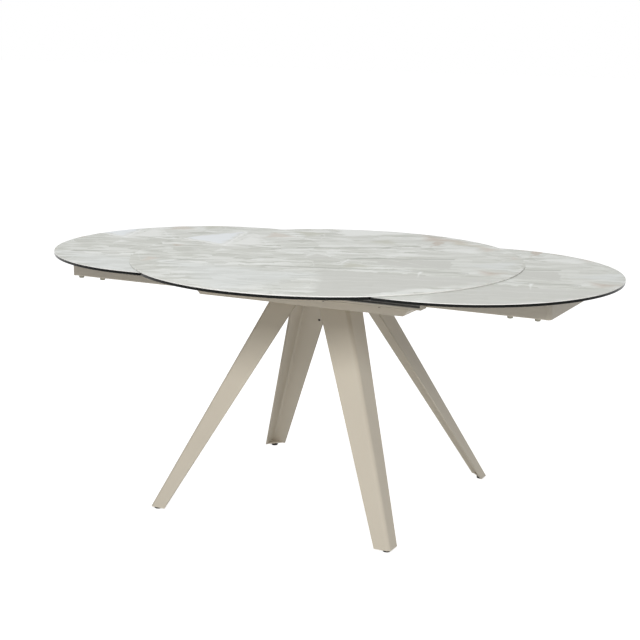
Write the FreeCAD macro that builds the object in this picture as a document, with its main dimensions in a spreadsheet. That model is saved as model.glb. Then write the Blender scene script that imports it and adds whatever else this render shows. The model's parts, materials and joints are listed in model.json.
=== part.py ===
import FreeCAD, Part
import math
import os
import re

# Round swivel dining table, drawn pulled out. A thin ceramic panel turns on a hub, and a gear on that hub
# drives two racks, so half a turn draws both leaves in under the panel. The frame stands on four folded legs.
# Millimetres; the floor is z = 0, the leaves slide along X, and -Y is the side that faces the viewer.

SIZES = {
    # panels
    "top_diameter": 1200,
    "table_height": 752,
    "panel_thickness": 2,
    "backing_thickness": 1,
    "backing_setback": 1,
    "glass_thickness": 7.5,
    "edge_plate_thickness": 7.5,
    "edge_plate_width": 125,
    "edge_gap": 2,
    "swivel_gap": 0.5,
    "leaf_setback": 4,
    "leaf_closed_gap": 52,
    # hub, bearing and drive
    "hub_radius": 80,
    "hub_thickness": 8,
    "hub_clearance": 10,
    "shaft_radius": 40,
    "axle_radius": 15,
    "axle_fit": 0.05,
    "axle_end_gap": 3,
    "pedestal_radius": 80,
    "pedestal_height": 36,
    "race_inner_radius": 50,
    "race_width": 30,
    "race_height": 9,
    "race_gap": 6,
    "ball_radius": 6,
    "ball_count": 16,
    "ball_clearance": 0.3,
    "cage_width": 20,
    "cage_thickness": 3,
    "gear_module": 4,
    "gear_teeth": 50,
    "gear_thickness": 10,
    "backlash": 0.8,
    "rack_depth": 32,
    "rack_thickness": 14,
    # bridge that carries the edge plates
    "bridge_half_width": 150,
    "bridge_thickness": 4.5,
    "bridge_gap": 1,
    "bridge_reach": 47,
    "bridge_hole_clearance": 5,
    "gusset_thickness": 5,
    "gusset_depth": 38,
    "gusset_foot": 20,
    "gusset_setback": 10,
    "packer_radius": 15,
    "packer_spread": 100,
    "packer_inset": 30,
    # leaf carriers
    "arm_width": 40,
    "arm_height": 63,
    "arm_wall": 2.5,
    "arm_gap": 1,
    "arm_setback": 141,
    "arm_inner_end": 32,
    "slide_gap": 2,
    "end_plate_thickness": 4,
    "end_plate_depth": 14,
    "end_plate_radius": 13,
    "leaf_pad_length": 60,
    "leaf_pad_width": 30,
    "leaf_pad_setback": 6,
    "leaf_pad_pitch": 140,
    "runner_length": 40,
    "runner_pitch": 330,
    "runner_clearance": 0.4,
    "screw_radius": 8.5,
    "screw_height": 9,
    "inner_screw_setback": 43,
    "outer_screw_setback": 22,
    "screw_pitch": 80,
    # beams and rails
    "beam_width": 40,
    "beam_height": 66,
    "beam_wall": 3,
    "beam_end_margin": 54,
    "cap_thickness": 3,
    "rail_rise": 6,
    "rail_height": 26,
    "rail_depth": 12,
    "rail_wall": 2,
    # tray below the beams
    "tray_height": 27.5,
    "tray_sheet": 3,
    "tray_half_length": 339,
    "tray_slope": 24,
    "tray_setback": 22,
    "screw_clearance": 2,
    # legs
    "leg_plate_thickness": 6,
    "leg_plate_margin": 3,
    "bolt_radius": 5,
    "bolt_head": 3,
    "beam_bolt_spacing": 180,
    "plate_bolt_spread": 60,
    "leg_top_x": 132,
    "leg_top_y": 126,
    "leg_foot_x": 401,
    "leg_foot_y": 390,
    "leg_top_width": 97,
    "leg_foot_width": 51,
    "leg_sheet": 5,
    "foot_plate_thickness": 4,
    "foot_pad_radius": 11,
    "foot_pad_height": 8,
    "foot_pad_inset": 18,
    "leg_screw_radius": 4,
    "leg_screw_height": 3,
    "leg_screw_drop": 119,
    "leg_screw_inset": 72,
}

# Places worked out from the sizes above, each from the ones before it.
PLACES = {}


def expression(text):
    """An expression in which every size and place is written out as cells of the sheet."""
    def expand(match):
        word = match.group(0)
        if word in PLACES:
            return PLACES[word]
        return "sizes." + word if word in SIZES else word
    return re.sub(r"[a-z]\w*", expand, text)


def place(name, text):
    PLACES[name] = "(" + expression(text) + ")"


# heights, from the top down to the arms and from the beams down to the floor
place("panel_bottom", "table_height - panel_thickness")
place("backing_bottom", "panel_bottom - backing_thickness")
place("leaf_top", "backing_bottom - swivel_gap")
place("leaf_glass_top", "leaf_top - panel_thickness")
place("leaf_bottom", "leaf_glass_top - glass_thickness")
place("bridge_top", "leaf_bottom - bridge_gap")
place("beam_top", "bridge_top - bridge_thickness")
place("arm_top", "beam_top - arm_gap")
place("arm_bottom", "arm_top - arm_height")
place("beam_bottom", "beam_top - beam_height")
place("tray_bottom", "beam_bottom - tray_height")
place("tray_floor_top", "tray_bottom + tray_sheet")
place("tray_end_top", "arm_bottom - screw_height - screw_clearance")
place("rail_bottom", "beam_bottom + rail_rise")
place("rail_top", "rail_bottom + rail_height")
place("leg_top", "tray_bottom - leg_plate_thickness")

# the turning parts, from the tray's floor up to the panel
place("pedestal_top", "tray_floor_top + pedestal_height")
place("lower_race_top", "pedestal_top + race_height")
place("ball_level", "lower_race_top + race_gap / 2")
place("upper_race_bottom", "lower_race_top + race_gap")
place("gear_bottom", "upper_race_bottom + race_height")
place("gear_top", "gear_bottom + gear_thickness")
place("hub_bottom", "backing_bottom - hub_thickness")
place("ball_circle", "race_inner_radius + race_width / 2")

# the drive, and the distances across the table that follow from it
place("pitch_radius", "gear_module * gear_teeth / 2")
place("travel", "pi * pitch_radius")
place("tooth_pitch", "pi * gear_module")
place("inner_arm_near", "pitch_radius + rack_depth")
place("inner_arm_far", "inner_arm_near + arm_width")
place("beam_near", "inner_arm_far + slide_gap")
place("beam_far", "beam_near + beam_width")
place("outer_arm_near", "beam_far + slide_gap")
place("outer_arm_far", "outer_arm_near + arm_width")
place("beam_half_length", "travel + arm_inner_end + beam_end_margin")
place("tray_wall_far", "beam_far - tray_setback")
place("tray_wall_near", "tray_wall_far - tray_sheet")
place("top_radius", "top_diameter / 2")
place("chord", "top_radius - edge_plate_width")
place("leaf_radius", "chord - edge_gap")
place("leaf_apex", "travel + top_radius - leaf_setback")
place("leaf_centre", "leaf_apex - leaf_radius")
place("leaf_inner_edge", "travel + leaf_closed_gap")
place("arm_reach", "leaf_apex - arm_setback")

doc = FreeCAD.newDocument("swivel_extending_table")
sheet = doc.addObject("Spreadsheet::Sheet", "sizes")
for row, (alias, number) in enumerate(SIZES.items(), 1):
    sheet.set("A%d" % row, alias)
    sheet.set("B%d" % row, str(number))
    sheet.setAlias("B%d" % row, alias)
doc.recompute()

NODES = {}


def node(name, shape_object):
    """Name a finished piece; its label names its file."""
    shape_object.Label = name
    NODES[name] = shape_object
    return shape_object


def bind(shape_object, values):
    for prop, text in values.items():
        shape_object.setExpression(prop, expression(text))
    return shape_object


def turned(side, low, high):
    """A span on the left carrier (side -1), or the same span after half a turn (side +1)."""
    if side < 0:
        return low, high
    return "-(%s)" % high, "-(%s)" % low


def box(x, y, z):
    """A block between pairs of coordinates."""
    block = doc.addObject("Part::Box", "block")
    return bind(block, {
        "Length": "(%s) - (%s)" % (x[1], x[0]),
        "Width": "(%s) - (%s)" % (y[1], y[0]),
        "Height": "(%s) - (%s)" % (z[1], z[0]),
        "Placement.Base.x": x[0],
        "Placement.Base.y": y[0],
        "Placement.Base.z": z[0],
    })


def rod(x, y, z, radius):
    """An upright cylinder between two heights."""
    cylinder = doc.addObject("Part::Cylinder", "rod")
    return bind(cylinder, {
        "Radius": radius,
        "Height": "(%s) - (%s)" % (z[1], z[0]),
        "Placement.Base.x": x,
        "Placement.Base.y": y,
        "Placement.Base.z": z[0],
    })


def lay_on_back():
    """A quarter turn about X: what points along Y then points up."""
    return FreeCAD.Placement(FreeCAD.Vector(0, 0, 0), FreeCAD.Rotation(FreeCAD.Vector(1, 0, 0), 90))


def frustum(z, lower, upper):
    """A straight-sided piece between a rectangle at one height and another above it (x0, x1, y0, y1)."""
    wedge = doc.addObject("Part::Wedge", "frustum")
    wedge.Placement = lay_on_back()
    return bind(wedge, {
        "Ymin": z[0], "Ymax": z[1],
        "Xmin": lower[0], "Xmax": lower[1], "Zmin": "-(%s)" % lower[3], "Zmax": "-(%s)" % lower[2],
        "X2min": upper[0], "X2max": upper[1], "Z2min": "-(%s)" % upper[3], "Z2max": "-(%s)" % upper[2],
    })


def fuse(pieces):
    union = doc.addObject("Part::MultiFuse", "union")
    union.Shapes = pieces
    return union


def cut(base, tools):
    difference = doc.addObject("Part::Cut", "difference")
    difference.Base = base
    difference.Tool = tools[0] if len(tools) == 1 else fuse(tools)
    return difference


def group(pieces):
    """Several like pieces that are kept in one file."""
    gathered = doc.addObject("Part::Compound", "group")
    gathered.Links = pieces
    return gathered


def ring_of_balls(radius):
    balls = []
    for index in range(int(sheet.ball_count)):
        ball = doc.addObject("Part::Sphere", "ball")
        angle = "%d * 360 deg / ball_count" % index
        bind(ball, {
            "Radius": radius,
            "Placement.Base.x": "ball_circle * cos(%s)" % angle,
            "Placement.Base.y": "ball_circle * sin(%s)" % angle,
            "Placement.Base.z": "ball_level",
        })
        balls.append(ball)
    return balls


# Turning panel: a thin ceramic disc bonded to a sheet steel backing, which is screwed to the hub.
node("top_panel", rod("0", "0", ("panel_bottom", "table_height"), "top_radius"))
node("top_backing", rod("0", "0", ("backing_bottom", "panel_bottom"), "top_radius - backing_setback"))
hub_solid = fuse([
    rod("0", "0", ("hub_bottom", "backing_bottom"), "hub_radius"),
    rod("0", "0", ("gear_top", "hub_bottom"), "shaft_radius"),
])
node("top_hub", cut(hub_solid, [rod("0", "0", ("gear_top", "hub_bottom"), "axle_radius + axle_fit")]))


# Standard teeth for the gear and the racks: the flank's slope, and the depth below the pitch line in modules.
PRESSURE_ANGLE = 20
ROOT_DEPTH = 1.25


def gear_outline():
    """Involute teeth for the straight-sided rack, with a space facing the rear rack."""
    teeth = int(sheet.gear_teeth)
    module = sheet.gear_module
    pressure_angle = math.radians(PRESSURE_ANGLE)
    pitch_radius = module * teeth / 2
    base_radius = pitch_radius * math.cos(pressure_angle)
    root_radius = pitch_radius - ROOT_DEPTH * module
    tip_radius = pitch_radius + module
    start_radius = max(root_radius, base_radius)
    half_tooth = math.pi / teeth / 2

    def involute(angle):
        return math.tan(angle) - angle

    def flank_angle(radius):
        roll = math.acos(base_radius / radius)
        return half_tooth + involute(pressure_angle) - involute(roll)

    def point(radius, angle):
        return FreeCAD.Vector(radius * math.cos(angle), radius * math.sin(angle), 0)

    steps = 5
    radii = [start_radius + (tip_radius - start_radius) * step / steps for step in range(steps + 1)]
    edges = []
    first_tooth = math.pi / 2 + math.pi / teeth
    for tooth in range(teeth):
        centre = first_tooth + 2 * math.pi * tooth / teeth
        next_centre = centre + 2 * math.pi / teeth
        rising = [point(radius, centre - flank_angle(radius)) for radius in radii]
        falling = [point(radius, centre + flank_angle(radius)) for radius in reversed(radii)]
        next_foot = point(start_radius, next_centre - flank_angle(start_radius))
        for flank in (rising, falling):
            curve = Part.BSplineCurve()
            curve.interpolate(flank)
            edges.append(curve.toShape())
        edges.append(Part.Arc(rising[-1], point(tip_radius, centre), falling[0]).toShape())
        root = point(start_radius, (centre + next_centre) / 2)
        edges.append(Part.Arc(falling[-1], root, next_foot).toShape())
    return Part.Wire(Part.__sortEdges__(edges))


gear_blank = Part.Face(gear_outline()).extrude(FreeCAD.Vector(0, 0, sheet.gear_thickness))
gear_bore = Part.makeCylinder(sheet.axle_radius + sheet.axle_fit, sheet.gear_thickness)
drive_gear = doc.addObject("Part::Feature", "drive_gear")
drive_gear.Shape = gear_blank.cut(gear_bore)
node("drive_gear", bind(drive_gear, {"Placement.Base.z": "gear_bottom"}))


# Turntable bearing: two grooved races with caged balls, on a pedestal with the axle that the hub turns on.
def race(low, high):
    groove = doc.addObject("Part::Torus", "groove")
    bind(groove, {
        "Radius1": "ball_circle",
        "Radius2": "ball_radius + ball_clearance",
        "Placement.Base.z": "ball_level",
    })
    outer = rod("0", "0", (low, high), "race_inner_radius + race_width")
    inner = rod("0", "0", (low, high), "race_inner_radius")
    return cut(outer, [inner, groove])


node("lower_race", race("pedestal_top", "lower_race_top"))
node("upper_race", race("upper_race_bottom", "gear_bottom"))
node("bearing_balls", group(ring_of_balls("ball_radius")))
cage_heights = ("ball_level - cage_thickness / 2", "ball_level + cage_thickness / 2")
cage_ring = cut(
    rod("0", "0", cage_heights, "ball_circle + cage_width / 2"),
    [rod("0", "0", cage_heights, "ball_circle - cage_width / 2")],
)
node("ball_cage", cut(cage_ring, ring_of_balls("ball_radius + ball_clearance")))
node("pedestal", fuse([
    rod("0", "0", ("tray_floor_top", "pedestal_top"), "pedestal_radius"),
    rod("0", "0", ("pedestal_top", "hub_bottom - axle_end_gap"), "axle_radius"),
]))


# Leaf carriers: each leaf lies on two square tubes joined by an end plate. The left carrier has its outer
# tube in front of the front beam and its inner tube behind the rack; the right carrier is the same, turned.
def leaf(side, heights):
    """A round outer end with short straight flanks, and a straight inner edge with a notch for the hub."""
    across = ("-(leaf_radius)", "leaf_radius")
    round_end = rod("%d * leaf_centre" % side, "0", heights, "leaf_radius")
    flanks = box(turned(side, "-(leaf_centre)", "-(leaf_inner_edge)"), across, heights)
    inner_part = box(turned(side, "-(leaf_inner_edge)", "leaf_radius"), across, heights)
    hub_notch = rod("%d * travel" % side, "0", heights, "hub_radius + hub_clearance")
    return cut(fuse([round_end, flanks]), [inner_part, hub_notch])


def arm(side, near, far):
    """A square tube along the slide, from the end plate to its inner end."""
    outer_end = "end_plate_depth - arm_reach"
    length = turned(side, outer_end, "arm_inner_end")
    heights = ("arm_bottom", "arm_top")
    bore_heights = ("arm_bottom + arm_wall", "arm_top - arm_wall")
    low, high = turned(side, near, far)
    tube = box(length, (low, high), heights)
    bore = box(length, ("%s + arm_wall" % low, "%s - arm_wall" % high), bore_heights)
    return cut(tube, [bore])


def rounded_block(side, outer, y, radius):
    """A block from the outer end of a carrier to its tubes, with its two outer upright edges rounded."""
    tubes = "end_plate_depth - arm_reach"
    heights = ("arm_bottom", "arm_top")
    shoulder = "%s + %s" % (outer, radius)
    rounded_y = ("%s + %s" % (y[0], radius), "%s - (%s)" % (y[1], radius))
    blocks = [
        box(turned(side, outer, tubes), rounded_y, heights),
        box(turned(side, shoulder, tubes), y, heights),
    ]
    for corner_y in rounded_y:
        blocks.append(rod("%d * (%s)" % (-side, shoulder), corner_y, heights, radius))
    return fuse(blocks)


def end_plate(side):
    """A strip across the ends of both tubes, bent round at its own ends to meet them."""
    low, high = turned(side, "-(outer_arm_far)", "inner_arm_far")
    inner_y = ("%s + end_plate_thickness" % low, "%s - end_plate_thickness" % high)
    strip = rounded_block(side, "-(arm_reach)", (low, high), "end_plate_radius")
    hollow = rounded_block(
        side, "end_plate_thickness - arm_reach", inner_y, "end_plate_radius - end_plate_thickness")
    tubes = "end_plate_depth - arm_reach"
    tube_x = turned(side, tubes, tubes + " + end_plate_radius")
    over_tubes = box(tube_x, (low, high), ("arm_bottom", "arm_top"))
    return cut(strip, [hollow, over_tubes])


def rack(side):
    """A straight rack on the inner tube's face. An odd gear has a tooth, not a space, opposite a space."""
    middle = "(gear_bottom + gear_top) / 2"
    heights = ("%s - rack_thickness / 2" % middle, "%s + rack_thickness / 2" % middle)
    root = "pitch_radius + %g * gear_module" % ROOT_DEPTH
    tip = "pitch_radius - gear_module"
    half_tooth = "(tooth_pitch / 4 - backlash / 2)"
    half_tip = half_tooth + " - gear_module * tan(%g deg)" % PRESSURE_ANGLE
    half_root = half_tooth + " + %g * gear_module * tan(%g deg)" % (ROOT_DEPTH, PRESSURE_ANGLE)
    teeth_in_gear = int(sheet.gear_teeth)
    spare_teeth = int(sheet.arm_inner_end / (math.pi * sheet.gear_module) - 0.5)
    last_tooth = teeth_in_gear // 2 + spare_teeth
    half_step = 0.5 if side > 0 and teeth_in_gear % 2 else 0
    outer_end = "-(%d * tooth_pitch)" % (last_tooth + 1)
    bar = box(turned(side, outer_end, "arm_inner_end"), turned(side, root, "inner_arm_near"), heights)
    teeth = []
    for index in range(-spare_teeth, last_tooth + 1):
        centre = "%g * tooth_pitch" % (side * index + half_step)
        tooth = doc.addObject("Part::Wedge", "rack_tooth")
        at_tip = ("%s - (%s)" % (centre, half_tip), "%s + (%s)" % (centre, half_tip))
        at_root = ("%s - (%s)" % (centre, half_root), "%s + (%s)" % (centre, half_root))
        first, second = (at_tip, at_root) if side < 0 else (at_root, at_tip)
        depth = turned(side, tip, root)
        teeth.append(bind(tooth, {
            "Ymin": depth[0], "Ymax": depth[1],
            "Xmin": first[0], "Xmax": first[1], "X2min": second[0], "X2max": second[1],
            "Zmin": heights[0], "Zmax": heights[1], "Z2min": heights[0], "Z2max": heights[1],
        }))
    return fuse([bar] + teeth)


def leaf_pads(side, tube_middles):
    """Rubber pads between the tubes and the leaf."""
    pads = []
    for middle in tube_middles:
        for index in range(2):
            low = "end_plate_depth + leaf_pad_setback - arm_reach + %d * leaf_pad_pitch" % index
            x = turned(side, low, low + " + leaf_pad_length")
            y = ("%s - leaf_pad_width / 2" % middle, "%s + leaf_pad_width / 2" % middle)
            pads.append(box(x, y, ("arm_top", "leaf_bottom")))
    return group(pads)


def arm_screws(side, tube_middles):
    """Heads of the screws that hold the leaf, below the tubes."""
    heads = []
    for middle, setback in zip(tube_middles, ("inner_screw_setback", "outer_screw_setback")):
        for index in range(2):
            x = "%d * (arm_reach - %s - %d * screw_pitch)" % (side, setback, index)
            heads.append(rod(x, middle, ("arm_bottom - screw_height", "arm_bottom"), "screw_radius"))
    return group(heads)


def runners(side, faces):
    """Nylon blocks on the tubes' faces that run in the rails."""
    blocks = []
    inset = "rail_wall + runner_clearance"
    heights = ("rail_bottom + " + inset, "rail_top - (%s)" % inset)
    for near, far in faces:
        for index in range(2):
            high = "arm_inner_end - %d * runner_pitch" % index
            x = turned(side, high + " - runner_length", high)
            blocks.append(box(x, turned(side, near, far), heights))
    return group(blocks)


def carrier(name, side):
    inner = ("inner_arm_near", "inner_arm_far")
    outer = ("-(outer_arm_far)", "-(outer_arm_near)")
    inner_name, outer_name = ("rear", "front") if side < 0 else ("front", "rear")
    node("%s_leaf_panel" % name, leaf(side, ("leaf_glass_top", "leaf_top")))
    node("%s_leaf_glass" % name, leaf(side, ("leaf_bottom", "leaf_glass_top")))
    node("%s_%s_arm" % (name, outer_name), arm(side, *outer))
    node("%s_%s_arm" % (name, inner_name), arm(side, *inner))
    node("%s_end_plate" % name, end_plate(side))
    node("%s_rack" % name, rack(side))
    turn = -side
    middles = ["%d * (inner_arm_near + arm_width / 2)" % turn, "%d * (outer_arm_near + arm_width / 2)" % side]
    node("%s_leaf_pads" % name, leaf_pads(side, middles))
    node("%s_arm_screws" % name, arm_screws(side, middles))
    reach = "slide_gap + rail_depth - rail_wall - runner_clearance"
    node("%s_runners" % name, runners(side, [
        ("inner_arm_far", "inner_arm_far + %s" % reach),
        ("-(outer_arm_near)", "-(outer_arm_near) + %s" % reach),
    ]))


carrier("left", -1)
carrier("right", 1)


# Beams: hollow profiles with a dark U-shaped rail let into each side, closed by caps.
def beam(side):
    length = ("-(beam_half_length)", "beam_half_length")

    def bar(near, far, low, high):
        return box(length, turned(-side, near, far), (low, high))

    solid = bar("beam_near", "beam_far", "beam_bottom", "beam_top")
    recess_near = bar("beam_near", "beam_near + rail_depth", "rail_bottom", "rail_top")
    recess_far = bar("beam_far - rail_depth", "beam_far", "rail_bottom", "rail_top")
    chamber = bar(
        "beam_near + beam_wall", "beam_far - beam_wall", "rail_top + beam_wall", "beam_top - beam_wall")
    return cut(solid, [recess_near, recess_far, chamber])


def rail(side, near, far, groove_near, groove_far):
    length = ("-(beam_half_length)", "beam_half_length")
    channel = box(length, turned(-side, near, far), ("rail_bottom", "rail_top"))
    groove_heights = ("rail_bottom + rail_wall", "rail_top - rail_wall")
    return cut(channel, [box(length, turned(-side, groove_near, groove_far), groove_heights)])


def beam_caps(side):
    caps = []
    for end in (-1, 1):
        x = turned(-end, "beam_half_length", "beam_half_length + cap_thickness")
        caps.append(box(x, turned(-side, "beam_near", "beam_far"), ("beam_bottom", "beam_top")))
    return group(caps)


for name, side in (("front", -1), ("rear", 1)):
    node("%s_beam" % name, beam(side))
    node("%s_beam_caps" % name, beam_caps(side))
    node("%s_inner_rail" % name, rail(
        side, "beam_near", "beam_near + rail_depth", "beam_near", "beam_near + rail_depth - rail_wall"))
    node("%s_outer_rail" % name, rail(
        side, "beam_far - rail_depth", "beam_far", "beam_far - rail_depth + rail_wall", "beam_far"))


# Tray: folded sheet below the beams, with a floor, two flanged side walls and two sloped ends.
tray_rim = "tray_half_length + tray_slope"
node("tray_floor", box(
    ("-tray_half_length", "tray_half_length"), ("-(tray_wall_near)", "tray_wall_near"),
    ("tray_bottom", "tray_floor_top")))
for name, side in (("front", -1), ("rear", 1)):
    wall_y = turned(-side, "tray_wall_near", "tray_wall_far")
    wall = frustum(
        ("tray_bottom", "beam_bottom"),
        ("-tray_half_length", "tray_half_length") + wall_y,
        ("-(%s)" % tray_rim, tray_rim) + wall_y)
    flange = box(
        ("-(%s)" % tray_rim, tray_rim), turned(-side, "tray_wall_near", "beam_far"),
        ("beam_bottom - tray_sheet", "beam_bottom"))
    node("tray_%s_wall" % name, fuse([wall, flange]))
# The ends stop short of the rim, because the screw heads pass over them as the leaves slide in.
end_shift = "tray_slope * (tray_end_top - tray_bottom) / tray_height"
floor_shift = "tray_slope * tray_sheet / tray_height"
for name, side in (("left", -1), ("right", 1)):
    inside = ("-(tray_wall_near)", "tray_wall_near")
    low_face = "tray_half_length + " + floor_shift
    high_face = "tray_half_length + " + end_shift
    low_x = turned(-side, low_face + " - tray_sheet", low_face)
    high_x = turned(-side, high_face + " - tray_sheet", high_face)
    node("tray_%s_end" % name, frustum(("tray_floor_top", "tray_end_top"), low_x + inside, high_x + inside))


# Bridge: a plate across both beams that holds the dark edge plates under the panel's front and rear rim.
bridge_y = "chord + bridge_reach"
bridge_plate = box(
    ("-bridge_half_width", "bridge_half_width"), ("-(%s)" % bridge_y, bridge_y), ("beam_top", "bridge_top"))
shaft_hole = rod("0", "0", ("beam_top", "bridge_top"), "shaft_radius + bridge_hole_clearance")
node("bridge", cut(bridge_plate, [shaft_hole]))
gusset_near = "outer_arm_far + gusset_setback"
gussets = []
for side_x in (-1, 1):
    for side_y in (-1, 1):
        x = turned(-side_x, "bridge_half_width - gusset_thickness", "bridge_half_width")
        foot = turned(-side_y, gusset_near, gusset_near + " + gusset_foot")
        head = turned(-side_y, gusset_near, "chord")
        gussets.append(frustum(("beam_top - gusset_depth", "beam_top"), x + foot, x + head))
node("bridge_gussets", group(gussets))
edge_bottom = "leaf_top - edge_plate_thickness"
packers = []
for side_x in (-1, 1):
    for side_y in (-1, 1):
        packers.append(rod(
            "%d * packer_spread" % side_x, "%d * (chord + packer_inset)" % side_y,
            ("bridge_top", edge_bottom), "packer_radius"))
node("bridge_packers", group(packers))
for name, side in (("front", -1), ("rear", 1)):
    rim = rod("0", "0", (edge_bottom, "leaf_top"), "top_radius")
    beyond = turned(-side, "chord", "top_radius")
    half = box(("-(top_radius)", "top_radius"), beyond, (edge_bottom, "leaf_top"))
    segment = doc.addObject("Part::Common", "segment")
    segment.Base = rim
    segment.Tool = half
    node("%s_edge_plate" % name, segment)


# Legs: angle-shaped folded sheet, narrowing to the floor, welded to a square plate below the tray.
node("leg_plate", box(
    ("-leg_top_x - leg_plate_margin", "leg_top_x + leg_plate_margin"),
    ("-leg_top_y - leg_plate_margin", "leg_top_y + leg_plate_margin"),
    ("leg_top", "tray_bottom")))


def leg(side_x, side_y):
    """Two flanges that meet in an outward fold."""
    heights = ("foot_pad_height", "leg_top")

    def span(side, edge, start, width):
        return turned(-side, "%s - %s" % (edge, width), "%s - %s" % (edge, start))

    def section(x_edge, y_edge, width, along_x):
        x = span(side_x, x_edge, "0", width if along_x else "leg_sheet")
        y = span(side_y, y_edge, "0", "leg_sheet" if along_x else width)
        return x + y

    flanges = []
    for along_x in (True, False):
        lower = section("leg_foot_x", "leg_foot_y", "leg_foot_width", along_x)
        upper = section("leg_top_x", "leg_top_y", "leg_top_width", along_x)
        flanges.append(frustum(heights, lower, upper))
    return fuse(flanges)


def foot_plate(side_x, side_y):
    """A small three-cornered plate that closes the angle at the floor."""
    rise = "foot_plate_thickness / (leg_top - foot_pad_height)"
    edges = []
    for foot, top in (("leg_foot_x", "leg_top_x"), ("leg_foot_y", "leg_top_y")):
        edges.append("%s - (%s - %s) * %s" % (foot, foot, top, rise))
    lower = []
    upper = []
    for side, foot, edge in ((side_x, "leg_foot_x", edges[0]), (side_y, "leg_foot_y", edges[1])):
        lower += turned(-side, "%s - leg_foot_width" % foot, "%s - leg_sheet" % foot)
        upper += turned(-side, "%s - leg_foot_width" % edge, "%s - leg_sheet" % edge)
    blank = frustum(("foot_pad_height", "foot_pad_height + foot_plate_thickness"), lower, upper)
    inward = math.degrees(math.atan2(-side_y, -side_x))
    middle_x = "%d * (leg_foot_x - leg_foot_width / 2)" % side_x
    middle_y = "%d * (leg_foot_y - leg_foot_width / 2)" % side_y
    inner_half = doc.addObject("Part::Box", "inner_half")
    bind(inner_half, {
        "Length": "leg_foot_width",
        "Width": "2 * leg_foot_width",
        "Height": "foot_plate_thickness",
        "Placement.Base.x": middle_x + " + leg_foot_width * sin(%d deg)" % inward,
        "Placement.Base.y": middle_y + " - leg_foot_width * cos(%d deg)" % inward,
        "Placement.Base.z": "foot_pad_height",
        "Placement.Rotation.Angle": "%d deg" % inward,
    })
    return cut(blank, [inner_half])


def leg_screw(side_x, side_y):
    """A screw head on the inside of the flange that runs along X, square to its slope."""
    head = doc.addObject("Part::Cylinder", "leg_screw")
    head.Placement = lay_on_back()
    share = "leg_screw_drop / (leg_top - foot_pad_height)"
    lean = "(leg_foot_y - leg_top_y) / (leg_top - foot_pad_height)"
    fold_x = "leg_top_x + (leg_foot_x - leg_top_x) * " + share
    fold_y = "leg_top_y + (leg_foot_y - leg_top_y) * " + share
    return bind(head, {
        "Radius": "leg_screw_radius",
        "Height": "leg_screw_height",
        "Placement.Base.x": "%d * (%s - leg_screw_inset)" % (side_x, fold_x),
        "Placement.Base.y": "%d * (%s - leg_sheet)" % (side_y, fold_y),
        "Placement.Base.z": "leg_top - leg_screw_drop",
        "Placement.Rotation.Angle": "%d * (90 deg + atan(%s))" % (side_y, lean),
    })


# Bolts: heads below the tray's flanges, which hold the beams, and below the plate that carries the legs.
beam_bolts = 4
bolts = []
flange_bottom = "beam_bottom - tray_sheet"
flange_middle = "(tray_wall_far + beam_far) / 2"
for side_y in (-1, 1):
    for index in range(beam_bolts):
        bolts.append(rod(
            "%g * beam_bolt_spacing" % (index - (beam_bolts - 1) / 2), "%d * %s" % (side_y, flange_middle),
            (flange_bottom + " - bolt_head", flange_bottom), "bolt_radius"))
    for side_x in (-1, 1):
        bolts.append(rod(
            "%d * plate_bolt_spread" % side_x, "%d * plate_bolt_spread" % side_y,
            ("leg_top - bolt_head", "leg_top"), "bolt_radius"))
node("frame_bolts", group(bolts))

screws = []
for name_y, side_y in (("front", -1), ("rear", 1)):
    for name_x, side_x in (("left", -1), ("right", 1)):
        name = "%s_%s" % (name_y, name_x)
        node("leg_%s" % name, leg(side_x, side_y))
        node("foot_plate_%s" % name, foot_plate(side_x, side_y))
        node("foot_pad_%s" % name, rod(
            "%d * (leg_foot_x - foot_pad_inset)" % side_x, "%d * (leg_foot_y - foot_pad_inset)" % side_y,
            ("0", "foot_pad_height"), "foot_pad_radius"))
        if side_x != side_y:
            screws.append(leg_screw(side_x, side_y))
node("leg_screws", group(screws))

doc.recompute()
for thing in doc.Objects:
    if "Invalid" in thing.State or "Error" in thing.State:
        raise RuntimeError("%s (%s) failed: %s" % (thing.Label, thing.Name, thing.State))
for name, thing in NODES.items():
    if thing.Shape.isNull() or not thing.Shape.isValid():
        raise RuntimeError("%s has no valid shape" % name)
    if not thing.Shape.Solids:
        raise RuntimeError("%s has no solid" % name)

os.makedirs("parts", exist_ok=True)
for name, thing in NODES.items():
    thing.Shape.exportStep("parts/%s.step" % name)
    extent = thing.Shape.BoundBox
    print("%-24s %2d solid(s)  x %8.1f %8.1f  y %8.1f %8.1f  z %7.1f %7.1f" % (
        name, len(thing.Shape.Solids),
        extent.XMin, extent.XMax, extent.YMin, extent.YMax, extent.ZMin, extent.ZMax))
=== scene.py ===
import json
import math

import bmesh
import bpy
from mathutils import Matrix, Vector


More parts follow.
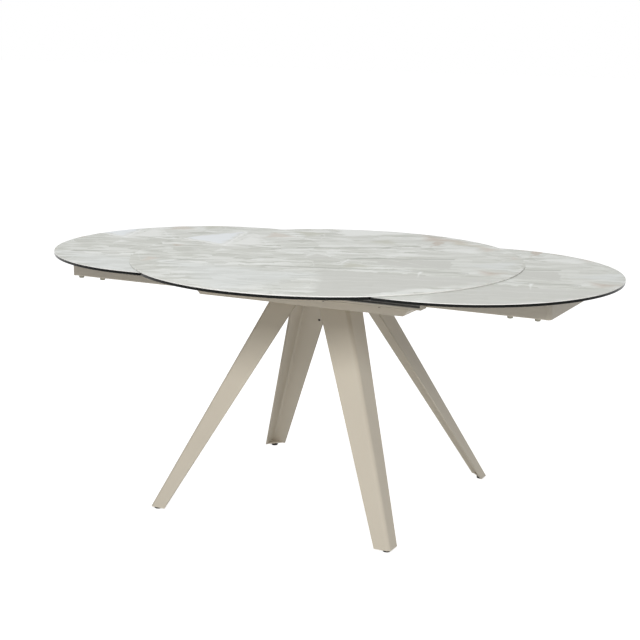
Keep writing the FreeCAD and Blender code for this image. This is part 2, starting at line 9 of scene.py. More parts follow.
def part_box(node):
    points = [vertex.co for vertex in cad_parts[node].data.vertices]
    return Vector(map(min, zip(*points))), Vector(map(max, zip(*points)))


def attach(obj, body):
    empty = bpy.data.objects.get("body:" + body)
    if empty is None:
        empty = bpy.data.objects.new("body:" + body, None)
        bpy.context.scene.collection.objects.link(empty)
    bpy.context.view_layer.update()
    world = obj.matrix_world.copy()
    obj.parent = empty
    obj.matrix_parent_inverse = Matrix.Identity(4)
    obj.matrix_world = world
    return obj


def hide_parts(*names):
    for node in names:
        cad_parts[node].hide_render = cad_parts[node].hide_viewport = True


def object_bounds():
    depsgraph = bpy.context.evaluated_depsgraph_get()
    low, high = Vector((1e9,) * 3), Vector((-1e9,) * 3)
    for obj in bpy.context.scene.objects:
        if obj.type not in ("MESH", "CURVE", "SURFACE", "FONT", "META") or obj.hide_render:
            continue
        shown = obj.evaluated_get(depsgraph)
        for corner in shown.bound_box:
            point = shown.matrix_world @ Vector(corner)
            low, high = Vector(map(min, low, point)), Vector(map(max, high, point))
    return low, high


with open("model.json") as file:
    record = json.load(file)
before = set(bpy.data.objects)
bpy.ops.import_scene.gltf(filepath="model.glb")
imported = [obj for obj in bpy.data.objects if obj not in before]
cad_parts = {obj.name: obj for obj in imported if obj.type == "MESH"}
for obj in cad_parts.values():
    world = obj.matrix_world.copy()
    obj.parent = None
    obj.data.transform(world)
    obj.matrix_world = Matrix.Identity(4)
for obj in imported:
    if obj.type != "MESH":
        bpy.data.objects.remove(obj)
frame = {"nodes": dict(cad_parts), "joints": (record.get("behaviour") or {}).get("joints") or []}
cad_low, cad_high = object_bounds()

# Legs
# Each leg is one piece of 5 mm sheet steel, folded along its outer corner and narrowing towards the floor.
# It is welded to the plate below the tray and powder coated with the rest of the frame.
MM = 0.001
CORNERS = {
    "front_left": (-1, -1),
    "front_right": (1, -1),
    "rear_left": (-1, 1),
    "rear_right": (1, 1),
}
LEG_SHEET = 5 * MM
FOLD_RADIUS = 12 * MM
FOLD_INNER_RADIUS = 8 * MM
CUT_EDGE = 1 * MM
TAUPE = "#cbc3b3"
TAUPE_WARM = "#c7beae"
COAT_DRIFT = 160 * MM
ORANGE_PEEL = 3 * MM
FACE_WEIGHT = 100


def linear(colour):
    """An sRGB hex colour as linear red, green and blue, with alpha."""
    channels = [int(colour[start:start + 2], 16) / 255 for start in (1, 3, 5)]
    return [c / 12.92 if c <= 0.04045 else ((c + 0.055) / 1.055) ** 2.4 for c in channels] + [1]


def add(tree, kind, output, inputs, **settings):
    """Adds a node with its settings, values and links, and returns one of its outputs."""
    made = tree.nodes.new(kind)
    for name, value in settings.items():
        setattr(made, name, value)
    for name, value in inputs.items():
        socket = next(s for s in made.inputs if s.enabled and name in (s.name, s.identifier))
        if isinstance(value, bpy.types.NodeSocket):
            tree.links.new(value, socket)
        else:
            socket.default_value = value
    return next((s for s in made.outputs if s.enabled and s.name == output), None)


def new_surface(name):
    """An empty material, its node tree and the place of each point on the piece."""
    material = bpy.data.materials.new(name)
    material.use_nodes = True
    tree = material.node_tree
    tree.nodes.clear()
    return material, tree, add(tree, "ShaderNodeTexCoord", "Object", {})


def two_shades(tree, tone, shades, values):
    """Ends a material with a shader whose colour goes from one shade to the other as the tone does."""
    colour = add(
        tree, "ShaderNodeMix", "Result",
        {"Factor": tone, "A": linear(shades[0]), "B": linear(shades[1])}, data_type="RGBA")
    shader = add(tree, "ShaderNodeBsdfPrincipled", "BSDF", {"Base Color": colour, **values})
    add(tree, "ShaderNodeOutputMaterial", None, {"Surface": shader})


def powder_coated_steel(name, shade, drift_shade):
    """Polyester powder, sprayed and baked: an even matt colour, with an orange peel that softens highlights.

    Real orange peel is about 1 mm; it is drawn at 3 mm so that it shows.
    """
    material, tree, place = new_surface(name)
    drift = add(tree, "ShaderNodeTexNoise", "Fac", {"Vector": place, "Scale": 1 / COAT_DRIFT, "Detail": 2})
    peel = add(tree, "ShaderNodeTexNoise", "Fac", {"Vector": place, "Scale": 1 / ORANGE_PEEL, "Detail": 1})
    roughness = add(tree, "ShaderNodeMapRange", "Result", {"Value": peel, "To Min": 0.46, "To Max": 0.6})
    relief = add(tree, "ShaderNodeBump", "Normal", {"Height": peel, "Strength": 0.25, "Distance": 0.03 * MM})
    two_shades(tree, drift, (shade, drift_shade), {"Roughness": roughness, "Normal": relief, "IOR": 1.5})
    return material


def rounded(corners, steps=6):
    """A closed outline whose corners (x, y, radius) are arcs."""
    outline = []
    for index, (x, y, radius) in enumerate(corners):
        corner = Vector((x, y))
        back = (Vector(corners[index - 1][:2]) - corner).normalized()
        on = (Vector(corners[(index + 1) % len(corners)][:2]) - corner).normalized()
        half_angle = back.angle(on) / 2
        centre = corner + (back + on).normalized() * (radius / math.sin(half_angle))
        start = corner + back * (radius / math.tan(half_angle)) - centre
        end = corner + on * (radius / math.tan(half_angle)) - centre
        turn = start.angle(end)
        for step in range(steps + 1):
            share = step / steps
            arm = start * math.sin((1 - share) * turn) + end * math.sin(share * turn)
            outline.append(centre + arm / math.sin(turn))
    return outline


def loft(name, rings, looped=False):
    """A skin over rings of equally many points; its ends are closed, or joined to each other when looped."""
    count = len(rings[0])
    pairs = [(index, index + 1) for index in range(len(rings) - 1)]
    if looped:
        pairs.append((len(rings) - 1, 0))
    faces = []
    for low, high in pairs:
        for step in range(count):
            after = (step + 1) % count
            faces.append((low * count + step, low * count + after, high * count + after, high * count + step))
    if not looped:
        faces.append(range(count))
        faces.append(range((len(rings) - 1) * count, len(rings) * count))
    mesh = bpy.data.meshes.new(name)
    mesh.from_pydata([point for ring in rings for point in ring], [], faces)
    skin = bmesh.new()
    skin.from_mesh(mesh)
    bmesh.ops.recalc_face_normals(skin, faces=skin.faces)
    skin.to_mesh(mesh)
    skin.free()
    return mesh


def flatten_shading(part):
    """Large faces keep their own direction, so that only the eased edges shade round."""
    for polygon in part.data.polygons:
        polygon.use_smooth = True
    part.modifiers.new("flat_faces", "WEIGHTED_NORMAL").weight = FACE_WEIGHT


def piece(name, mesh, material, body, slot, *nodes):
    """A new piece that rides on a body in place of CAD nodes."""
    made = bpy.data.objects.new(name, mesh)
    bpy.context.scene.collection.objects.link(made)
    mesh.materials.append(material)
    flatten_shading(made)
    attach(made, body)
    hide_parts(*nodes)
    return made


def leg_fold(corner, top):
    """Where a leg's fold and its flange's edge lie, outward from the table's middle, at its foot or top."""
    vertices = [vertex.co for vertex in frame["nodes"]["leg_" + corner].data.vertices]
    level = max(point.z for point in vertices) if top else min(point.z for point in vertices)
    outward = [(abs(point.x), abs(point.y)) for point in vertices if abs(point.z - level) < MM]
    fold_x = max(x for x, y in outward)
    fold_y = max(y for x, y in outward)
    return fold_x, fold_y, fold_x - min(x for x, y in outward), level


def leg_ring(corner, top):
    """The folded section at the foot or the top of a leg."""
    side_x, side_y = CORNERS[corner]
    fold_x, fold_y, width, level = leg_fold(corner, top)
    section = rounded([
        (0, 0, FOLD_RADIUS),
        (width, 0, CUT_EDGE),
        (width, LEG_SHEET, CUT_EDGE),
        (LEG_SHEET, LEG_SHEET, FOLD_INNER_RADIUS),
        (LEG_SHEET, width, CUT_EDGE),
        (0, width, CUT_EDGE),
    ])
    return [(side_x * (fold_x - u), side_y * (fold_y - v), level) for u, v in section]


powder_coat = powder_coated_steel("taupe_powder_coated_steel", TAUPE, TAUPE_WARM)
for corner in CORNERS:
    leg_mesh = loft("folded_leg_" + corner, [leg_ring(corner, False), leg_ring(corner, True)])
    piece("folded_leg_" + corner, leg_mesh, powder_coat, "base", "powder_coat", "leg_" + corner)

# Leg plate and foot plates
# A 6 mm steel plate carries the legs below the tray, and a 4 mm plate closes each leg at the floor.
# They are laser cut, welded in and coated with the legs.
PLATE_EDGE = 0.8 * MM
SAME_POINT = 0.01 * MM
EASING_STEPS = 2
EASING_ANGLE = math.radians(35)


def dress(names, material, edge):
    """Gives CAD nodes their finish, and eases their edges by a real radius."""
    for name in names:
        node = frame["nodes"][name]
        node.data.materials.clear()
        node.data.materials.append(material)
        node.modifiers.new("joined_corners", "WELD").merge_threshold = SAME_POINT
        easing = node.modifiers.new("eased_edges", "BEVEL")
        easing.width = edge
        easing.segments = EASING_STEPS
        easing.limit_method = "ANGLE"
        easing.angle_limit = EASING_ANGLE
        flatten_shading(node)


dress(["leg_plate"] + ["foot_plate_" + corner for corner in CORNERS], powder_coat, PLATE_EDGE)

# Foot pads
# A round black polyethylene glide is pressed into each foot plate. It is injection moulded, with a groove
# round its side and a slightly domed sole.
CIRCLE_STEPS = 48
POLYETHYLENE = "#191917"
POLYETHYLENE_WORN = "#282724"
MOULD_GRAIN = 1.5 * MM
# The glide from its sole up, as shares of its radius and height: a domed sole, a groove and a collar.
GLIDE_PROFILE = [
    (0.72, 0), (0.9, 0.06), (0.98, 0.2), (1, 0.34), (1, 0.5), (0.9, 0.56), (0.9, 0.68), (1, 0.74), (1, 1)]


def moulded_polyethylene():
    """Injection-moulded black polyethylene: a waxy near-black with a fine spark-eroded grain."""
    material, tree, place = new_surface("moulded_polyethylene")
    grain = add(tree, "ShaderNodeTexNoise", "Fac", {"Vector": place, "Scale": 1 / MOULD_GRAIN, "Detail": 3})
    relief = add(tree, "ShaderNodeBump", "Normal", {"Height": grain, "Strength": 0.3, "Distance": 0.05 * MM})
    two_shades(
        tree, grain, (POLYETHYLENE, POLYETHYLENE_WORN),
        {"Roughness": 0.6, "Normal": relief, "IOR": 1.51, "Specular IOR Level": 0.25})
    return material


def circle(radius, height):
    """A level ring about the Z axis."""
    angles = [2 * math.pi * step / CIRCLE_STEPS for step in range(CIRCLE_STEPS)]
    return [Vector((radius * math.cos(angle), radius * math.sin(angle), height)) for angle in angles]


polyethylene = moulded_polyethylene()
for corner in CORNERS:
    pad_low, pad_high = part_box("foot_pad_" + corner)
    pad_middle = Vector(((pad_low.x + pad_high.x) / 2, (pad_low.y + pad_high.y) / 2, pad_low.z))
    pad_radius = (pad_high.x - pad_low.x) / 2
    pad_height = pad_high.z - pad_low.z
    pad_rings = [circle(wide * pad_radius, tall * pad_height) for wide, tall in GLIDE_PROFILE]
    pad_rings = [[point + pad_middle for point in ring] for ring in pad_rings]
    pad_mesh = loft("foot_glide_" + corner, pad_rings)
    piece("foot_glide_" + corner, pad_mesh, polyethylene, "base", "rubber", "foot_pad_" + corner)

# Leg screws
# A small button-head screw with a hexagon socket sits on the inside of two legs, across from each other.
# It is cold headed from steel and blackened in hot oxide.
LEG_SCREW_RADIUS = 4 * MM
LEG_SCREW_HEIGHT = 3 * MM
DOMED = 0.6
# A head from its foot up, as shares of its radius and height, and its socket.
HEAD_FOOT = 0.96
HEAD_FOOT_LIFT = 0.12
HEAD_LIFTS = (0.4, 0.64, 0.82, 0.94)
SOCKET_SHARE = 0.52
SOCKET_RIM = 1.25
SOCKET_DEPTH_SHARE = 0.6
BLACK_OXIDE = "#2b2a28"
BLACK_OXIDE_RUBBED = "#4a4844"
RUB_MARKS = 2 * MM


def blackened_steel():
    """Hot black oxide on steel: a dull blue-black metal that rubs grey on its crowns."""
    material, tree, place = new_surface("blackened_steel")
    rub = add(tree, "ShaderNodeTexNoise", "Fac", {"Vector": place, "Scale": 1 / RUB_MARKS, "Detail": 4})
    roughness = add(tree, "ShaderNodeMapRange", "Result", {"Value": rub, "To Min": 0.55, "To Max": 0.35})
    two_shades(tree, rub, (BLACK_OXIDE, BLACK_OXIDE_RUBBED), {"Roughness": roughness, "Metallic": 1})
    return material


def hexagon(flat, height):
    """A ring with six flats, with as many points as a circle."""
    ring = []
    for step in range(CIRCLE_STEPS):
        angle = 2 * math.pi * step / CIRCLE_STEPS
        reach = flat / math.cos(angle % (math.pi / 3) - math.pi / 6)
        ring.append(Vector((reach * math.cos(angle), reach * math.sin(angle), height)))
    return ring


def button_head(radius, height, crown):
    """A screw head with a hexagon socket, standing on z = 0. Its side leans in more with a larger crown."""
    socket = SOCKET_SHARE * radius
    rings = [circle(HEAD_FOOT * radius, 0), circle(radius, HEAD_FOOT_LIFT * height)]
    for lift in HEAD_LIFTS:
        rings.append(circle(radius * math.sqrt(1 - crown * lift ** 2), lift * height))
    rings.append(circle(SOCKET_RIM * socket, height))
    rings.append(hexagon(socket, height))
    rings.append(hexagon(socket, (1 - SOCKET_DEPTH_SHARE) * height))
    return rings


def solids_of(node):
    """The corners of the box round each separate solid in a CAD node."""
    skin = bmesh.new()
    skin.from_mesh(frame["nodes"][node].data)
    bmesh.ops.remove_doubles(skin, verts=skin.verts, dist=SAME_POINT)
    waiting = set(skin.verts)
    boxes = []
    while waiting:
        reached = [waiting.pop()]
        for vertex in reached:
            for edge in vertex.link_edges:
                other = edge.other_vert(vertex)
                if other in waiting:
                    waiting.remove(other)
                    reached.append(other)
        spans = [[vertex.co[axis] for vertex in reached] for axis in range(3)]
        boxes.append((tuple(map(min, spans)), tuple(map(max, spans))))
    skin.free()
    return [(Vector(low), Vector(high)) for low, high in sorted(boxes)]


def heads(name, radius, height, crown, seats):
    """One mesh of screw heads. A seat is the point that a head stands on and the direction that it faces."""
    gathered = bmesh.new()
    for point, direction in seats:
        turn = direction.to_track_quat("Z", "Y").to_matrix()
        rings = [[turn @ p + point for p in ring] for ring in button_head(radius, height, crown)]
        head = loft(name + "_one", rings)
        gathered.from_mesh(head)
        bpy.data.meshes.remove(head)
    mesh = bpy.data.meshes.new(name)
    gathered.to_mesh(mesh)
    gathered.free()
    return mesh


black_oxide = blackened_steel()
leg_screw_seats = []
for low, high in solids_of("leg_screws"):
    middle = (low + high) / 2
    corner = next(name for name, (x, y) in CORNERS.items() if x * middle.x > 0 and y * middle.y > 0)
    foot_fold, top_fold = leg_fold(corner, False), leg_fold(corner, True)
    lean = (foot_fold[1] - top_fold[1]) / (top_fold[3] - foot_fold[3])
    inward = Vector((0, -CORNERS[corner][1], -lean)).normalized()
    leg_screw_seats.append((middle - inward * LEG_SCREW_HEIGHT / 2, inward))
leg_screw_mesh = heads("leg_screw_heads", LEG_SCREW_RADIUS, LEG_SCREW_HEIGHT, DOMED, leg_screw_seats)
piece("leg_screw_heads", leg_screw_mesh, black_oxide, "base", "blackened_steel", "leg_screws")

# Tray and its bolts
# A shallow tray of 3 mm folded sheet closes the frame from below: a floor, two flanged sides and two sloped
# ends. Bolts through the flanges hold the beams, and four more hold the leg plate.
FOLDED_EDGE = 1.2 * MM
DOWN = Vector((0, 0, -1))


def hanging_heads(name, node, crown, material, body):
    """Screw heads that face the floor, as large as the solids of a CAD node and in their places."""
    boxes = solids_of(node)
    size = boxes[0][1] - boxes[0][0]
    seats = []
    for low, high in boxes:
        seats.append((Vector(((low.x + high.x) / 2, (low.y + high.y) / 2, high.z)), DOWN))
    mesh = heads(name, size.x / 2, size.z, crown, seats)
    piece(name, mesh, material, body, "blackened_steel", node)


dress(
    ["tray_floor", "tray_front_wall", "tray_rear_wall", "tray_left_end", "tray_right_end"],
    powder_coat, FOLDED_EDGE)
hanging_heads("frame_bolt_heads", "frame_bolts", DOMED, black_oxide, "base")

# Beams and rails
# Two hollow beams run across the tray, closed by end caps. A dark steel channel is let into each side of a
# beam, and the leaf carriers run in it. The beams are coated; the channels are cold rolled and phosphated.
BEAM_EDGE = 1 * MM
RAIL_EDGE = 0.3 * MM
PHOSPHATE = "#797874"
PHOSPHATE_DARK = "#5f5e5b"
ROLLING_LENGTH = 120 * MM
ROLLING_WIDTH = 3 * MM


def phosphated_steel():
    """Cold-rolled steel under phosphate and oil: dark grey, with faint streaks along the rolling."""
    material, tree, place = new_surface("phosphated_steel")
    along = add(
        tree, "ShaderNodeMapping", "Vector",
        {"Vector": place, "Scale": (ROLLING_LENGTH, ROLLING_WIDTH, ROLLING_WIDTH)}, vector_type="TEXTURE")
    streaks = add(tree, "ShaderNodeTexNoise", "Fac", {"Vector": along, "Scale": 1, "Detail": 3})
    roughness = add(tree, "ShaderNodeMapRange", "Result", {"Value": streaks, "To Min": 0.4, "To Max": 0.6})
    two_shades(tree, streaks, (PHOSPHATE, PHOSPHATE_DARK), {"Roughness": roughness, "Metallic": 1})
    return material


dress(["front_beam", "rear_beam", "front_beam_caps", "rear_beam_caps"], powder_coat, BEAM_EDGE)
dress(
    ["front_outer_rail", "front_inner_rail", "rear_inner_rail", "rear_outer_rail"],
    phosphated_steel(), RAIL_EDGE)

# Turntable bearing, hub and gear
# The hub turns on a fixed axle and on a ring of caged balls between two grooved races, above a pedestal.
# All are turned from steel on a lathe, and the gear below the hub is hobbed.
TURNED_EDGE = 0.5 * MM
TURNED_STEEL = "#b7b4ae"
TURNED_STEEL_DARK = "#9d9a94"
FEED_MARK = 1.2 * MM
BALL_STEEL = "#cfcecb"
BALL_STEEL_DARK = "#b9b8b5"
LAPPING_MARK = 0.6 * MM
NYLON = "#e4dfd0"
NYLON_FLOW = "#d8d2c0"
FLOW_MARK = 14 * MM


def turned_steel():
    """Bright lathe-turned steel: fine rings about the axle that spread each highlight into a fan.

    The tool's feed is about 0.2 mm; it is drawn at 1.2 mm so that it shows.
    """
    material, tree, place = new_surface("turned_steel")
    level = add(
        tree, "ShaderNodeVectorMath", "Vector", {"Vector": place, "Vector_001": (1, 1, 0)},
        operation="MULTIPLY")
    radius = add(tree, "ShaderNodeVectorMath", "Value", {"Vector": level}, operation="LENGTH")
    rings = add(
        tree, "ShaderNodeTexNoise", "Fac", {"W": radius, "Scale": 1 / FEED_MARK, "Detail": 2},
        noise_dimensions="1D")
    roughness = add(tree, "ShaderNodeMapRange", "Result", {"Value": rings, "To Min": 0.25, "To Max": 0.42})
    relief = add(tree, "ShaderNodeBump", "Normal", {"Height": rings, "Strength": 0.2, "Distance": 0.02 * MM})
    two_shades(
        tree, rings, (TURNED_STEEL, TURNED_STEEL_DARK),
        {"Roughness": roughness, "Normal": relief, "Metallic": 1})
    return material


def lapped_steel():
    """Hardened bearing steel, lapped to a near mirror, with a trace of oil."""
    material, tree, place = new_surface("lapped_steel")
    lapping = add(
        tree, "ShaderNodeTexNoise", "Fac", {"Vector": place, "Scale": 1 / LAPPING_MARK, "Detail": 2})
    roughness = add(tree, "ShaderNodeMapRange", "Result", {"Value": lapping, "To Min": 0.08, "To Max": 0.16})
    two_shades(tree, lapping, (BALL_STEEL, BALL_STEEL_DARK), {"Roughness": roughness, "Metallic": 1})
    return material


def moulded_nylon():
    """Natural injection-moulded nylon: milky ivory, slightly waxy, with pale flow marks."""
    material, tree, place = new_surface("moulded_nylon")
    flow = add(
        tree, "ShaderNodeTexNoise", "Fac",
        {"Vector": place, "Scale": 1 / FLOW_MARK, "Detail": 3, "Distortion": 1.5})
    roughness = add(tree, "ShaderNodeMapRange", "Result", {"Value": flow, "To Min": 0.38, "To Max": 0.5})
    two_shades(
        tree, flow, (NYLON, NYLON_FLOW),
        {"Roughness": roughness, "IOR": 1.53, "Subsurface Weight": 0.1, "Subsurface Scale": 2 * MM})
    return material


turned = turned_steel()
nylon = moulded_nylon()
dress(["pedestal", "lower_race", "upper_race", "drive_gear", "top_hub"], turned, TURNED_EDGE)
dress(["bearing_balls"], lapped_steel(), TURNED_EDGE)
dress(["ball_cage"], nylon, TURNED_EDGE)

# Leaf carriers
# Each leaf lies on two welded square tubes joined by an end plate, all coated as the frame. A milled rack on
# the inner tube meets the gear, and nylon runners on both tubes slide in the rails.
TUBE_CORNER = 4 * MM
TUBE_WALL = 2.5 * MM
TUBE_BORE_CORNER = 1.5 * MM
RUNNER_EDGE = 0.6 * MM
RACK_EDGE = 0.4 * MM
MILLED_STEEL = "#a9a7a2"
MILLED_STEEL_DARK = "#8c8a85"
CUTTER_MARK = 2 * MM
WAVE_PHASE = 20
SIDES = {"left": -1, "right": 1}


def milled_steel():
    """Plain milled steel: even cutter marks across the bar, and a light film of grease.

    A wave texture's phase runs 20 times its scale, so one mark is a full turn of that.
    """
    material, tree, place = new_surface("milled_steel")
    marks = add(
        tree, "ShaderNodeTexWave", "Fac",
        {"Vector": place, "Scale": 2 * math.pi / WAVE_PHASE / CUTTER_MARK, "Distortion": 2, "Detail": 2})
    roughness = add(tree, "ShaderNodeMapRange", "Result", {"Value": marks, "To Min": 0.3, "To Max": 0.45})
    two_shades(tree, marks, (MILLED_STEEL, MILLED_STEEL_DARK), {"Roughness": roughness, "Metallic": 1})
    return material


def tube_mesh(node):
    """A square tube with rolled corners, in the space of a CAD tube that runs along X."""
    low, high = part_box(node)

    def section(inset, radius):
        return rounded([
            (low.y + inset, low.z + inset, radius),
            (high.y - inset, low.z + inset, radius),
            (high.y - inset, high.z - inset, radius),
            (low.y + inset, high.z - inset, radius),
        ])

    outer = section(0, TUBE_CORNER)
    bore = section(TUBE_WALL, TUBE_BORE_CORNER)
    rings = []
    for outline, x in ((outer, low.x), (outer, high.x), (bore, high.x), (bore, low.x)):
        rings.append([(x, y, z) for y, z in outline])
    return loft(node + "_tube", rings, looped=True)


milled = milled_steel()
for side in SIDES:
    carrier = side + "_carrier"
    for arm in ("front_arm", "rear_arm"):
        node = "%s_%s" % (side, arm)
        piece(node + "_tube", tube_mesh(node), powder_coat, carrier, "powder_coat", node)
    dress([side + "_end_plate"], powder_coat, PLATE_EDGE)
    dress([side + "_rack"], milled, RACK_EDGE)
    dress([side + "_runners"], nylon, RUNNER_EDGE)

# Carrier screws
# Two pan-head screws below each tube's outer end hold the pads that the leaf is bonded to.
# They are zinc plated, so they are a dull olive grey in the shade of the leaf.
PAN_SHAPED = 0.2
ZINC = "#8d8a7d"
ZINC_DULL = "#6f6c60"
ZINC_CLOUD = 4 * MM


def zinc_plated_steel():
    """Electroplated zinc with a passivated film: soft grey metal with a slight olive bloom."""
    material, tree, place = new_surface("zinc_plated_steel")
    bloom = add(tree, "ShaderNodeTexNoise", "Fac", {"Vector": place, "Scale": 1 / ZINC_CLOUD, "Detail": 3})
    roughness = add(tree, "ShaderNodeMapRange", "Result", {"Value": bloom, "To Min": 0.35, "To Max": 0.55})
    two_shades(tree, bloom, (ZINC, ZINC_DULL), {"Roughness": roughness, "Metallic": 1})
    return material


zinc = zinc_plated_steel()
for side in SIDES:
    hanging_heads(side + "_arm_screw_heads", side + "_arm_screws", PAN_SHAPED, zinc, side + "_carrier")

# Leaf pads
# Black rubber pads between the tubes and the glass let the leaf move a little with heat.
# They are cut from extruded strip and bonded on both faces.
PAD_EDGE = 0.8 * MM
RUBBER = "#262624"
RUBBER_BLOOM = "#3a3a37"
RUBBER_GRAIN = 3 * MM


def extruded_rubber():
    """Extruded black rubber: dull and matt, with a slight grey bloom."""
    material, tree, place = new_surface("extruded_rubber")
    bloom = add(tree, "ShaderNodeTexNoise", "Fac", {"Vector": place, "Scale": 1 / RUBBER_GRAIN, "Detail": 4})
    relief = add(tree, "ShaderNodeBump", "Normal", {"Height": bloom, "Strength": 0.3, "Distance": 0.1 * MM})
    two_shades(tree, bloom, (RUBBER, RUBBER_BLOOM), {"Roughness": 0.75, "Normal": relief, "IOR": 1.52})
    return material


rubber = extruded_rubber()
dress(["left_leaf_pads", "right_leaf_pads"], rubber, PAD_EDGE)

# Bridge
# A 4.5 mm plate across both beams, stiffened by gussets, holds the edge plates below the rim of the top.
# It is cut and folded from sheet, coated as the frame, and the edge plates stand on round rubber packers.
dress(["bridge", "bridge_gussets"], powder_coat, PLATE_EDGE)
dress(["bridge_packers"], rubber, PAD_EDGE)

# Edge plates
# Below the front and rear rim of the top lies a segment of 7.5 mm black glass, like a leaf's edge.
# It is cut by water jet, its edge is ground and polished, and its back is lacquered.
RIM_STEPS = 120
GLASS_ARRIS = 0.6 * MM
ARRIS_STEPS = 3
BLACK_GLASS = "#030403"
BLACK_GLASS_EDGE = "#0a0c0a"
GRINDING_MARK = 6 * MM


def ground_black_glass():
    """Back-lacquered float glass with a ground and polished edge: almost black, with soft reflections."""
    material, tree, place = new_surface("ground_black_glass")
    grinding = add(
        tree, "ShaderNodeTexNoise", "Fac", {"Vector": place, "Scale": 1 / GRINDING_MARK, "Detail": 4})
    roughness = add(tree, "ShaderNodeMapRange", "Result", {"Value": grinding, "To Min": 0.1, "To Max": 0.22})
    two_shades(
        tree, grinding, (BLACK_GLASS, BLACK_GLASS_EDGE),
        {"Roughness": roughness, "IOR": 1.52, "Specular IOR Level": 0.11})
    return material


def arc(centre, radius, first, last, steps):
    """Points on an arc in the XY plane, between two angles."""
    points = []
    for step in range(steps + 1):
        angle = first + (last - first) * step / steps
        points.append(centre + radius * Vector((math.cos(angle), math.sin(angle))))
    return points


def slab(name, outline, low, high, arris):
    """A plate of an outline that runs anticlockwise, with its top and bottom edges eased by an arris."""
    outward = []
    for index, point in enumerate(outline):
        back = (point - outline[index - 1]).normalized()
        on = (outline[(index + 1) % len(outline)] - point).normalized()
        along = (back + on).normalized()
        outward.append(Vector((along.y, -along.x)))
    rings = []
    quarter = [math.pi / 2 * step / ARRIS_STEPS for step in range(ARRIS_STEPS + 1)]
    lower = [(arris * (1 - math.sin(angle)), low + arris * (1 - math.cos(angle))) for angle in quarter]
    upper = [(inset, high + low - level) for inset, level in reversed(lower)]
    for inset, level in lower + upper:
        ring = []
        for point, direction in zip(outline, outward):
            moved_in = point - direction * inset
            ring.append((moved_in.x, moved_in.y, level))
        rings.append(ring)
    return loft(name, rings)


black_glass = ground_black_glass()
for side, turn in (("front", math.pi), ("rear", 0)):
    node = side + "_edge_plate"
    plate_low, plate_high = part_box(node)
    rim_radius = max(-plate_low.y, plate_high.y)
    chord_angle = math.acos(plate_high.x / rim_radius)
    rim = arc(Vector((0, 0)), rim_radius, turn + chord_angle, turn + math.pi - chord_angle, RIM_STEPS)
    glass_mesh = slab(side + "_edge_glass", rim, plate_low.z, plate_high.z, GLASS_ARRIS)
    piece(side + "_edge_glass", glass_mesh, black_glass, "base", "dark_glass", node)

# Leaves
# Each leaf is a 2 mm sheet of printed ceramic bonded to a 7.5 mm plate of black glass. Its outer edge is an
# arc with short straight flanks, and a notch in its straight inner edge clears the hub when it is drawn in.
CERAMIC_ARRIS = 0.5 * MM
HUB_CLEARANCE = 10 * MM
NOTCH_STEPS = 24
PRINT_SHIFTS = {"left": -384 * MM, "right": 336 * MM}
STREAK_ANGLE = math.radians(22)
STONE = "#cbcdc6"
STONE_GREY = "#b9bbb1"
STONE_DARK = "#a9aba0"
STONE_SMOOTH = "#bebfb8"
STONE_OLIVE = "#b4b5a5"
STONE_WHITE = "#e5e7e3"
STONE_PALE_AND_SHEEN = "#d2d6d4"
STONE_BEIGE = "#c3baad"
STONE_RUST = "#ad9c8a"
STONE_UMBER = "#b1a68d"
STONE_BLUE = "#e6ebee"
VEIN = "#93958b"
CRACKLE = "#f0f2f0"
CERAMIC_BODY = "#f1f0ec"
DRIFT_SIZE = (700 * MM, 320 * MM, 1)
CLOUD_SIZE = (240 * MM, 80 * MM, 1)
BRUSH_SIZE = (260 * MM, 11 * MM, 1)
FACET_SIZE = (140 * MM, 55 * MM, 1)
CHIP_SIZE = (64 * MM, 24 * MM, 1)
CRACKLE_SIZE = (170 * MM, 110 * MM, 1)
WARP_SIZE = 60 * MM
WARP_REACH = 55 * MM
RAGGED_REACH = 14 * MM
OUTLINE_WIDTH = 9 * MM
